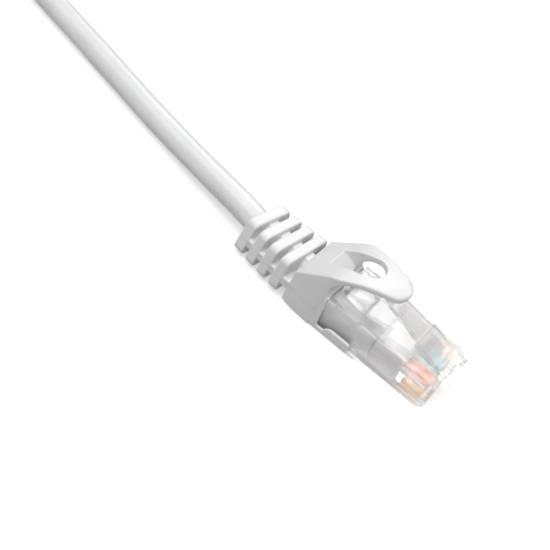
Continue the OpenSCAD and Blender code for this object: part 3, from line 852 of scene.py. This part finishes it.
for end, place, *_ in ENDS:
    shell = finish(shell_mesh(end + "_plug_shell"), SHELL_CLEAR, place)
    carry(shell, TRUNK, "clear_plastic", end + "_housing")
print("shell faces:", len(shell.data.polygons))

# %% [markdown]
# ## The latch
# The latch springs from the block on the nose and leans back over the plug: wide shoulders that catch
# behind the jack's ledge, then a tab that narrows under the hood. It is drawn as one loft from its
# root to its tip, so that shoulders and tab are one clear moulding. Real plastic bends at its root
# and has no pin.
# %% Latch
TAB_TOP = [(0.7, 12.15), (4.0, 11.9), (8.7, 11.35), (10.7, 10.95), (15.2, 9.9)]
TAB_UNDER = [(0.7, 11.3), (4.0, 11.1), (8.7, 10.45), (10.7, 10.0), (15.2, 8.9)]
TAB_HALF = [(-0.3, 1.1), (8.7, 1.94), (15.9, 2.6)]
SHOULDERS = [(19.62, HINGE_Z, HINGE_Z + ROOT_T, 3.1), (18.4, 7.65, 8.87, 3.1), (16.6, 8.08, 9.5, 3.1),
             (15.1, 8.44, 10.02, 3.1), (14.95, 8.52, 10.04, 3.02), (14.85, 8.75, 9.98, 2.6)]
TAB_START, TAB_END, TAB_TIP = 14.6, 0.95, (0.72, 11.4, 12.06, 1.08)
LATCH_BEND = (19.6, 0, 8), (17.5, 0, 8)


def latch_mesh(name):
    """Sections from root to tip: (x, underside, top, half width)."""
    places = [TAB_START - (TAB_START - TAB_END) * k / 28 for k in range(29)]
    tab = [(x, *(smooth_at(table, x) for table in (TAB_UNDER, TAB_TOP, TAB_HALF))) for x in places]
    bm = bmesh.new()
    add_loft(bm, [[(x, u, v) for u, v in rounded_box_outline(2 * half, low, high, 0.18, 3)]
                  for x, low, high, half in SHOULDERS + tab + [TAB_TIP]])
    return bevel(piece_from(bm, name), 0.08, 60.0)


for end, place, _, _, arm in ENDS:
    latch = finish(latch_mesh(end + "_clear_latch"), SHELL_CLEAR, place)
    carry_bent(latch, arm, *LATCH_BEND, place, "clear_plastic", end + "_latch")
print("latch faces:", len(latch.data.polygons))

# %% [markdown]
# ## Conductors
# Eight insulated conductors fan out from the jacket's end and lie side by side under the nose. The
# order of their colours is the same on every such cable: a striped white one, then a plain one, in
# four pairs. Each is a tube swept along its own smooth way. The stripe of a pale one comes from the
# tube's own coordinates, so that it runs along the wire, as it does when it is printed on the line.
# %% Conductors
WIRE_D, FAN_X, FAN_L = 0.95, JACKET_X + 0.8, 5
PAIR_COLOURS = {"orange": (1.0, 0.37, 0.24), "green": (0.3, 0.66, 0.52), "blue": (0.44, 0.64, 0.88),
                "brown": (0.66, 0.46, 0.37)}
WIRE_NAMES = ["white_orange_wire", "orange_wire", "white_green_wire", "blue_wire", "white_blue_wire",
              "green_wire", "white_brown_wire", "brown_wire"]


def wire_finish(name):
    """Plain insulation, or white insulation with a coloured stripe along it."""
    colour = PAIR_COLOURS[name.replace("white_", "").replace("_wire", "")]
    surface = Surface(name)
    drift = surface.noise(900)
    if name.startswith("white"):
        where = surface.nodes.new("ShaderNodeUVMap")
        split = surface.nodes.new("ShaderNodeSeparateXYZ")
        surface.links.new(where.outputs["UV"], split.inputs["Vector"])
        turn = surface.maths("PINGPONG", surface.maths("ADD", split.outputs["Y"], 0.9), 0.5)
        surface.colour(turn, colour, (0.95, 0.94, 0.93), 0.28, 0.34)
    else:
        surface.colour(drift, tuple(0.8 * c for c in colour), colour)
    surface.roughness(drift, 0.28, 0.42)
    surface.bump(surface.noise(4000), 0.004 * MM)
    return surface.material


def wire_way(i):
    """From two rows of four in the jacket to the i-th place in the row of contacts."""
    from_y, from_z = (i // 2 - 1.5) * PITCH, AXIS_Z + (i % 2 - 0.5)
    points = [Vector((JACKET_X, from_y, from_z))]
    for s in range(7):
        f = s / 6
        across, rise = ease(min(1, f / 0.6)), ease(max(0, (f - 0.4) / 0.6))
        points.append(Vector((FAN_X + FAN_L * f, from_y + (contact_y(i) - from_y) * across,
                              from_z + (WIRE_Z - from_z) * rise)))
    return points + [Vector((GUIDE_X, contact_y(i), WIRE_Z)), Vector((WIRE_X, contact_y(i), WIRE_Z))]


WIRE_FINISHES = [wire_finish(name) for name in WIRE_NAMES]
for i, name in enumerate(WIRE_NAMES):
    wire = solid("near_" + name + "_dressed", add_tube, smooth_line(wire_way(i), 0.4), WIRE_D / 2, 16)
    finish(wire, WIRE_FINISHES[i], angle=60)
    carry(wire, TRUNK, name.replace("_wire", ""), "near_" + name)

bm = bmesh.new()
for i in range(WAYS):
    add_tube(bm, smooth_line(wire_way(i), 0.4), WIRE_D / 2, 16, slot=i)
far_wires = finish(piece_from(bm, "far_wires_dressed"), WIRE_FINISHES[0], FAR_PLUG, angle=60)
for extra in WIRE_FINISHES[1:]:
    far_wires.data.materials.append(extra)
carry(far_wires, TRUNK, "far_wires", "far_wires")
print("conductors:", WIRE_NAMES)

# %% [markdown]
# ## Contacts
# Each contact is a blade stamped from thin bronze and plated with gold. Its foot meets the spring in
# the jack and its teeth bite through the insulation into the copper. It is drawn in profile and
# pushed out to the sheet's thickness, the way a stamping is made, and its edges are just broken.
# %% Contacts


def gold_plate():
    surface = Surface("gold_plate")
    surface.colour(surface.noise(1200), (0.68, 0.4, 0.19), (0.82, 0.55, 0.29))
    surface.set({"Metallic": 1.0})
    brushed = surface.noise(3000, stretch=(0.2, 1, 4))
    surface.roughness(brushed, 0.16, 0.34)
    surface.bump(brushed, 0.003 * MM)
    return surface.material


BLADE_OUTLINE = [(0, 0.45), (3.4, 0.45), (3.9, 0.95), (3.9, 3.3), (3.4, 3.3), (3.0, 3.64), (2.6, 3.3),
                 (1.3, 3.3), (0.9, 3.64), (0.5, 3.3), (0, 3.3)]


def contact_mesh(name):
    bm = bmesh.new()
    for i in range(WAYS):
        outline = [(BLADE_X + x, PLUG_Z + z) for x, z in BLADE_OUTLINE]
        add_prism(bm, outline, "Y", contact_y(i) - BLADE_T / 2, contact_y(i) + BLADE_T / 2)
    return bevel(piece_from(bm, name), 0.05)


GOLD = gold_plate()
for end, place, *_ in ENDS:
    contacts = finish(contact_mesh(end + "_gold_blades"), GOLD, place)
    carry(contacts, TRUNK, "gold_plating", end + "_contacts")
print("blades per plug:", WAYS)

# %% [markdown]
# ## Inside the plug
# The jacket ends in a soft grey mould that fills the shell's rear, and a guide in front of it keeps the
# conductors in their row. Both are pressed blocks with broad flats, so each is a loft or a prism with
# its openings cut by exact booleans and its edges broken by a narrow bevel. The mould falls away in two
# shoulders beside the clamp, and the guide has a shallow pale bed in its top. They catch the light
# through the clear shell, where a plain block would look like a grey bar.
# %% Mould and guide
BED = 10.4, 4.6, 5.2, 5.5, 9.0


def mould_mesh(name):
    """Sections along the plug: (x, half width of the flat top, height of the shoulders)."""
    half, low, high = CAVITY_W / 2 - 0.03, CAVITY_LOW + 0.03, CAVITY_HIGH - 0.25
    stations = [(-0.9, 4.5, 6.1), (0.9, 4.5, 6.1), (1.3, 3.3, 5.0), (5.6, 3.1, 4.9), (6.1, 4.5, 6.15),
                (GUIDE_X - 0.1, 4.5, 6.15)]
    bm = bmesh.new()
    add_loft(bm, [[(x, half, low), (x, half, shoulder), (x, flat, high), (x, -flat, high),
                   (x, -half, shoulder), (x, -half, low)] for x, flat, shoulder in stations])
    mould = piece_from(bm, name)
    axis = [Vector((x, 0, AXIS_Z)) for x in (-2, 1, JACKET_X)]
    cut(mould, solid("jacket_bore", add_tube, axis, CABLE_D / 2 + 0.01, 32))
    chamber_l = GUIDE_X - JACKET_X + 1
    cut(mould, block("chamber", JACKET_X - 0.1, chamber_l, 8.2, PLUG_Z + 2.2, WIRE_Z + 0.6))
    return bevel(mould, 0.12, 30.0)


def guide_mesh(name):
    """A block with a slot for the row of conductors and a pale bed in its top."""
    length = SLOT_X - GUIDE_X
    guide = block(name, GUIDE_X, length - 0.1, CAVITY_W - 0.2, CAVITY_LOW + 0.2, CAVITY_HIGH - 0.2)
    cut(guide, wire_row(GUIDE_X - 1, length + 2))
    cut(guide, block("bed", *BED))
    return bevel(guide, 0.1)


def paint_bed(guide):
    """Gives the bed's floor its pale finish: faces that look up from well below the guide's top."""
    guide.data.materials.append(PALE_VINYL)
    top = max(v.co.z for v in guide.data.vertices)
    for face in guide.data.polygons:
        if face.normal.z > 0.8 and 0.3 * MM < top - face.center.z < 1.2 * MM:
            face.material_index = 1


for end, place, *_ in ENDS:
    mould = finish(mould_mesh(end + "_grey_mould"), INNER_VINYL, place)
    carry(mould, TRUNK, "inner_plastic", end + "_inner_mould")
    guide = finish(guide_mesh(end + "_conductor_guide"), INNER_VINYL, place)
    paint_bed(guide)
    carry(guide, TRUNK, "inner_plastic", end + "_wire_guide")
print("guide's pale faces:", sum(face.material_index for face in guide.data.polygons))

# %% [markdown]
# ## Clamp, jacket end and copper
# A tongue of the same clear plastic is pressed down on the jacket through the window in the shell's
# top, and it bends the light like a small lens. Under it the jacket simply ends. The copper in each
# conductor is seven thin strands laid in a spiral: one straight rod would do inside the insulation,
# but at the cut end the seven dots are what tells stranded wire from solid.
# %% Clamp, jacket end and copper
CORE_X, STRANDS, STRAND_R, STRAND_REACH, STRAND_LAY = 12.0, 7, 0.08, 0.166, 7.0


def clamp_mesh(name):
    """A wedge with a rounded crest, pushed out across the plug."""
    low, high = AXIS_Z + CABLE_D / 2 + 0.03, PLUG_TOP - 0.1
    crest = [(2.2 + 3.0 * f, high - 0.4 * ease(f)) for f in (0, 0.2, 0.4, 0.6, 0.8, 1)]
    outline = [(0.8, low), (0.8, high - 0.15), (0.95, high)] + crest + [(5.2, low)]
    return bevel(solid(name, add_prism, outline, "Y", -2.6, 2.6), 0.1, 50.0)


def strand_line(i, k):
    """The k-th strand of the i-th core: the last one runs straight in the middle."""
    reach = 0.0 if k == STRANDS - 1 else STRAND_REACH
    line = []
    for s in range(19):
        x = CORE_X + (WIRE_X + 0.02 - CORE_X) * s / 18
        turn = math.radians(60 * k) + 2 * math.pi * x / STRAND_LAY
        line.append(Vector((x, contact_y(i) + reach * math.cos(turn), WIRE_Z + reach * math.sin(turn))))
    return line


def copper_finish():
    surface = Surface("bare_copper")
    drift = surface.noise(2500)
    surface.colour(drift, (0.72, 0.32, 0.17), (0.9, 0.46, 0.27))
    surface.set({"Metallic": 1.0})
    surface.roughness(drift, 0.25, 0.4)
    surface.bump(surface.noise(9000), 0.002 * MM)
    return surface.material


COPPER = copper_finish()
for end, place, tail_bend, *_ in ENDS:
    clamp = finish(clamp_mesh(end + "_clamp_tongue"), SHELL_CLEAR, place)
    carry(clamp, TRUNK, "clear_plastic", end + "_cable_clamp")
    way = smooth_line(jacket_way(tail_bend)[:-1], 0.8)
    jacket = solid(end + "_jacket_in_plug", add_tube, way, CABLE_D / 2 - 0.01, 32)
    finish(jacket, CABLE_VINYL, place, angle=60)
    carry(jacket, TRUNK, "jacket", end + "_jacket_end")
    bm = bmesh.new()
    for i in range(WAYS):
        for k in range(STRANDS):
            add_tube(bm, strand_line(i, k), STRAND_R, 6)
    strands = finish(piece_from(bm, end + "_copper_strands"), COPPER, place, angle=60)
    carry(strands, TRUNK, "copper", end + "_wire_cores")
print("strands per plug:", WAYS * STRANDS, "faces:", len(strands.data.polygons))

# %% [markdown]
# ## The tie strap
# The hank is held by a hook and loop strap: a soft woven band that goes once round all the turns and
# closes on itself. A torus or a box frame would say nothing of that, so the band is swept along a
# rounded way in one go, and its free end lies on top of it. Its finish is a pile of tiny loops: cells
# with a raised rim, on top of slower rows of weave, with some sheen at the edges.
# %% Tie strap
STRAP_T, STRAP_W, STRAP_R = 0.8, 10.0, 0.6
LAP_T, LAP_W, LAP_SHIFT, LAP_BEFORE, LAP_AFTER = 0.56, 9.7, 0.25, 12, 5


def strap_size():
    """The room inside the strap, as in the solids: lowest and highest x, and its height."""
    fold_x = HANK_X + RUN_L / 2
    inner_r = turn_radius(3, 0.5) - CABLE_D / 2
    inner = fold_x + math.sqrt(inner_r**2 - (STRAP_W / 2)**2) - 0.2
    return inner, fold_x + turn_radius(7, 0.5) + CABLE_D / 2 + 0.2, UPPER_Z - LOWER_Z + CABLE_D + 0.1


def strap_way(lift):
    """A rounded rectangle, lift outside the strap's room, as (point, outward) pairs from its top."""
    inner, outer, high = strap_size()
    middle, right, up = (inner + outer) / 2, (outer - inner) / 2 - STRAP_R, high / 2 - STRAP_R
    way = []
    for cu, cv, start in ((right, up, 90), (right, -up, 0), (-right, -up, -90), (-right, up, -180)):
        centre = Vector((middle + cu, HANK_Y, STRAP_T + high / 2 + cv))
        for u, v in arc(0, 0, 1, start, start - 90, 6):
            way.append((centre + Vector((u, 0, v)) * (STRAP_R + lift), Vector((u, 0, v))))
    return way


def add_band(bm, way, thickness, width, closed):
    """Sweeps a flat band with soft edges. way holds (middle point, outward direction) pairs."""
    half_t, half_w = thickness / 2, width / 2
    outline = [(half_t * math.sin(t), half_w - half_t + half_t * math.cos(t))
               for t in (math.radians(30 * k) for k in range(-3, 4))]
    outline += [(-n, -a) for n, a in outline]
    rings = [[bm.verts.new(p + out * n + Vector((0, a, 0))) for n, a in outline] for p, out in way]
    along = [0.0]
    for (a, _), (b, _) in zip(way, way[1:] + way[:1]):
        along.append(along[-1] + (b - a).length)
    add_skin(bm, rings, along, [a for _, a in outline + outline[:1]], closed=closed)


def subdivided_way(way, step):
    """More points on the straight parts, so that the band can be lifted softly."""
    out = []
    for (a, na), (b, nb) in zip(way, way[1:] + way[:1]):
        pieces = max(1, round((b - a).length / step))
        out += [(a.lerp(b, k / pieces), na.lerp(nb, k / pieces).normalized()) for k in range(pieces)]
    return out


def strap_finish():
    """Woven black band with a pile of loops."""
    surface = Surface("hook_and_loop")
    surface.colour(surface.noise(250), (0.018, 0.018, 0.02), (0.035, 0.035, 0.038))
    where = surface.nodes.new("ShaderNodeUVMap").outputs["UV"]
    loops = surface.nodes.new("ShaderNodeTexVoronoi")
    loops.inputs["Scale"].default_value = 2.6
    rows = surface.nodes.new("ShaderNodeTexWave")
    rows.inputs["Scale"].default_value, rows.inputs["Distortion"].default_value = 0.9, 2.0
    for texture in (loops, rows):
        surface.links.new(where, texture.inputs["Vector"])
    weave = surface.maths("MULTIPLY", rows.outputs["Fac"], 0.4)
    surface.bump(surface.maths("ADD", loops.outputs["Distance"], weave), 0.12 * MM, 0.8)
    surface.roughness(loops.outputs["Distance"], 0.75, 0.95)
    surface.set({"Sheen Weight": 0.35, "Sheen Roughness": 0.5})
    return surface.material


bm = bmesh.new()
add_band(bm, subdivided_way(strap_way(STRAP_T / 2), 1.0), STRAP_T, STRAP_W, closed=True)
around = subdivided_way(strap_way(1.5 * STRAP_T), 1.0)
lap = around[-LAP_BEFORE:-1] + around[:LAP_AFTER]
add_band(bm, [(p + Vector((0, LAP_SHIFT, 0)), out) for p, out in lap], LAP_T, LAP_W, closed=False)
strap = finish(piece_from(bm, "hook_and_loop_strap"), strap_finish(), angle=50)
carry(strap, TRUNK, "strap", "tie_strap")
print("strap faces:", len(strap.data.polygons))

# %% [markdown]
# ## The stage
# Product pictures of this kind stand on white with almost no horizon. One large pale sheet does that.
# The sheet glows a little, to stay white where no lamp reaches, and it lights nothing, because a white
# floor's light would wash out the object's shaded sides. The sky is dim for shading too. It is brighter
# for the camera, where it has to meet the sheet's far edge, and for light bent through clear plastic,
# which looks smoky when it bends a dim sky. The lamp overhead draws the shapes, the one in front opens
# the shade under the hood, and the one behind adds only glare. The plain view transform leaves white as
# it is.
# %% The stage
SKY_SHADING, SKY_SEEN, SKY_BENT = 0.31, 0.66, 0.95


def sheet_material():
    surface = Surface("pale_sheet")
    surface.colour(surface.noise(6), (0.68, 0.68, 0.68), (0.7, 0.7, 0.7))
    surface.set({"Roughness": 0.85, "Emission Color": (1, 1, 1, 1), "Emission Strength": 0.45})
    return surface.material


def make_sky():
    """A white sky with one strength for shading, one for the camera and one for bent light."""
    world = bpy.data.worlds.new("studio_world")
    world.use_nodes = True
    nodes, links = world.node_tree.nodes, world.node_tree.links
    nodes["Background"].inputs["Color"].default_value = (1, 1, 1, 1)
    path, strength = nodes.new("ShaderNodeLightPath"), None
    for ray, wanted in (("Is Camera Ray", SKY_SEEN), ("Is Transmission Ray", SKY_BENT)):
        lift = nodes.new("ShaderNodeMath")
        lift.operation = "MULTIPLY_ADD"
        links.new(path.outputs[ray], lift.inputs[0])
        lift.inputs[1].default_value, lift.inputs[2].default_value = wanted - SKY_SHADING, SKY_SHADING
        if strength:
            links.new(strength, lift.inputs[2])
        strength = lift.outputs["Value"]
    links.new(strength, nodes["Background"].inputs["Strength"])
    bpy.context.scene.world = world


def softbox(name, place, target, size, power):
    """A square area light at place that faces target."""
    data = bpy.data.lights.new(name, "AREA")
    data.shape, data.size, data.energy = "SQUARE", size, power
    light = bpy.data.objects.new(name, data)
    bpy.context.scene.collection.objects.link(light)
    light.location = place
    light.rotation_euler = (Vector(target) - Vector(place)).to_track_quat("-Z", "Y").to_euler()
    return light


bm = bmesh.new()
bmesh.ops.create_grid(bm, x_segments=8, y_segments=8, size=3.0)
floor = piece_from(bm, "studio_floor", sheet_material())
floor.location.z = -0.02 * MM
floor.visible_diffuse = False
make_sky()
bpy.context.scene.view_settings.view_transform = "Standard"
softbox("overhead", (-0.17, -0.16, 0.57), (-0.01, 0, 0), 0.55, 3.2)
softbox("rear_reflector", (-0.13, 0.42, 0.45), (0, 0, 0.01), 0.5, 3.6).visible_diffuse = False
softbox("front_fill", (0.38, 0.02, 0.24), (0, 0, 0.006), 0.2, 0.38).visible_glossy = False
print("stage set")
